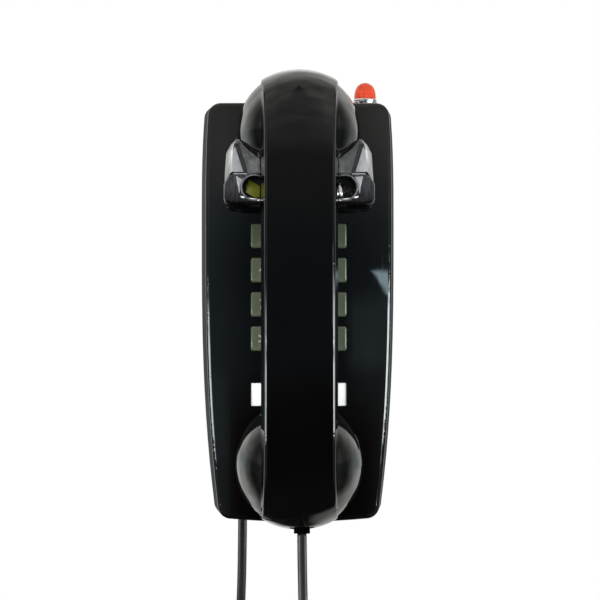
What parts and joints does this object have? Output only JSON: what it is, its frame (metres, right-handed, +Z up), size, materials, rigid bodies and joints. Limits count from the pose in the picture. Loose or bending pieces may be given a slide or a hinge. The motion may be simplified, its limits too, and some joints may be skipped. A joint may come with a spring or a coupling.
{
  "type": "wall telephone",
  "caption": "Push-button wall telephone: a tall narrow housing with keypad, clear cradle, message lamp and a handset hung over its front on a curly cord.",
  "frame": {"origin": "on the wall plane, midway between the two keyholes of the base plate", "axes": "+Z up, +Y into the wall, so the phone's front faces -Y, and +X to the right of a person facing the phone"},
  "size_m": [0.1022, 0.1156, 0.4352],
  "materials": {
    "black_plastic": "glossy moulded",
    "clear_plastic": "polished clear",
    "clear_plastic_plug": "clear moulded",
    "key_plastic": "satin moulded",
    "grey_plastic": "moulded",
    "red_lens": "translucent red",
    "bulb_glass": "clear",
    "chrome": "bright plated",
    "zinc_steel": "zinc plated",
    "brass": "bright",
    "coil_tape": "taped winding",
    "board": "laminate",
    "rubber_mat": "silicone",
    "card": "plain white card",
    "cord_jacket": "satin extruded"
  },
  "bodies": {
    "base": {"base_plate": "zinc_steel", "housing": "black_plastic", "housing_screws": "zinc_steel", "wall_plug": "clear_plastic_plug", "plug_bracket": "grey_plastic", "handset_jack": "grey_plastic", "network_can": "grey_plastic", "terminal_board": "board", "terminal_screws": "brass", "ringer_bracket": "zinc_steel", "ringer_coil": "coil_tape", "gong_high": "brass", "gong_low": "brass", "gong_screws": "zinc_steel", "clapper_pin": "zinc_steel", "wheel_pin": "zinc_steel", "hook_bracket": "zinc_steel", "hook_pin": "zinc_steel", "hook_spring": "zinc_steel", "switch_stack": "grey_plastic", "switch_leaves": "brass", "keypad_bezel": "black_plastic", "keypad_frame": "grey_plastic", "key_mat": "rubber_mat", "keypad_board": "board", "keypad_screws": "zinc_steel", "number_card": "card", "card_window": "clear_plastic", "lamp_lens": "red_lens", "lamp_bezel": "chrome", "lamp_bulb": "bulb_glass", "lamp_socket": "grey_plastic", "cord_plug_base": "clear_plastic_plug", "cord_lead_base": "cord_jacket", "cord_coil": "cord_jacket"},
    "handset": {"handset_shell": "black_plastic", "receiver_cap": "black_plastic", "transmitter_cap": "black_plastic", "receiver_capsule": "zinc_steel", "transmitter_capsule": "zinc_steel", "transmitter_cup": "grey_plastic", "handset_socket": "grey_plastic", "cord_lead_handset": "cord_jacket", "cord_plug_handset": "clear_plastic_plug"},
    "cradle": {"hook_lever": "clear_plastic"},
    "clapper": {"clapper": "zinc_steel"},
    "loudness": {"loudness_wheel": "grey_plastic"},
    "key_1_body": {"key_1": "key_plastic"},
    "key_2_body": {"key_2": "key_plastic"},
    "key_3_body": {"key_3": "key_plastic"},
    "key_4_body": {"key_4": "key_plastic"},
    "key_5_body": {"key_5": "key_plastic"},
    "key_6_body": {"key_6": "key_plastic"},
    "key_7_body": {"key_7": "key_plastic"},
    "key_8_body": {"key_8": "key_plastic"},
    "key_9_body": {"key_9": "key_plastic"},
    "key_star_body": {"key_star": "key_plastic"},
    "key_0_body": {"key_0": "key_plastic"},
    "key_pound_body": {"key_pound": "key_plastic"}
  },
  "joints": [
    {"name": "handset_lift", "type": "slide", "parent": "base", "child": "handset", "axis": [0, -0.5, 0.866], "range_m": [0, 0.16]},
    {"name": "cradle_rise", "type": "hinge", "parent": "base", "child": "cradle", "pos_m": [0, -0.022, 0.062], "axis": [-1, 0, 0], "range_deg": [0, 7]},
    {"name": "clapper_swing", "type": "hinge", "parent": "base", "child": "clapper", "pos_m": [0, -0.013, -0.036], "axis": [0, 1, 0], "range_deg": [-2, 2]},
    {"name": "loudness_turn", "type": "hinge", "parent": "base", "child": "loudness", "pos_m": [0.03, -0.0097, -0.0988], "axis": [0, 1, 0], "range_deg": [-75, 75]},
    {"name": "press_1", "type": "slide", "parent": "base", "child": "key_1_body", "axis": [0, 1, 0], "range_m": [0, 0.003], "stiffness_N_per_m": 250},
    {"name": "press_2", "type": "slide", "parent": "base", "child": "key_2_body", "axis": [0, 1, 0], "range_m": [0, 0.003], "stiffness_N_per_m": 250},
    {"name": "press_3", "type": "slide", "parent": "base", "child": "key_3_body", "axis": [0, 1, 0], "range_m": [0, 0.003], "stiffness_N_per_m": 250},
    {"name": "press_4", "type": "slide", "parent": "base", "child": "key_4_body", "axis": [0, 1, 0], "range_m": [0, 0.003], "stiffness_N_per_m": 250},
    {"name": "press_5", "type": "slide", "parent": "base", "child": "key_5_body", "axis": [0, 1, 0], "range_m": [0, 0.003], "stiffness_N_per_m": 250},
    {"name": "press_6", "type": "slide", "parent": "base", "child": "key_6_body", "axis": [0, 1, 0], "range_m": [0, 0.003], "stiffness_N_per_m": 250},
    {"name": "press_7", "type": "slide", "parent": "base", "child": "key_7_body", "axis": [0, 1, 0], "range_m": [0, 0.003], "stiffness_N_per_m": 250},
    {"name": "press_8", "type": "slide", "parent": "base", "child": "key_8_body", "axis": [0, 1, 0], "range_m": [0, 0.003], "stiffness_N_per_m": 250},
    {"name": "press_9", "type": "slide", "parent": "base", "child": "key_9_body", "axis": [0, 1, 0], "range_m": [0, 0.003], "stiffness_N_per_m": 250},
    {"name": "press_star", "type": "slide", "parent": "base", "child": "key_star_body", "axis": [0, 1, 0], "range_m": [0, 0.003], "stiffness_N_per_m": 250},
    {"name": "press_0", "type": "slide", "parent": "base", "child": "key_0_body", "axis": [0, 1, 0], "range_m": [0, 0.003], "stiffness_N_per_m": 250},
    {"name": "press_pound", "type": "slide", "parent": "base", "child": "key_pound_body", "axis": [0, 1, 0], "range_m": [0, 0.003], "stiffness_N_per_m": 250}
  ],
  "couplings": [
    {"joint": "cradle_rise", "follows": "handset_lift", "rad_per_m": 0.76282}
  ]
}
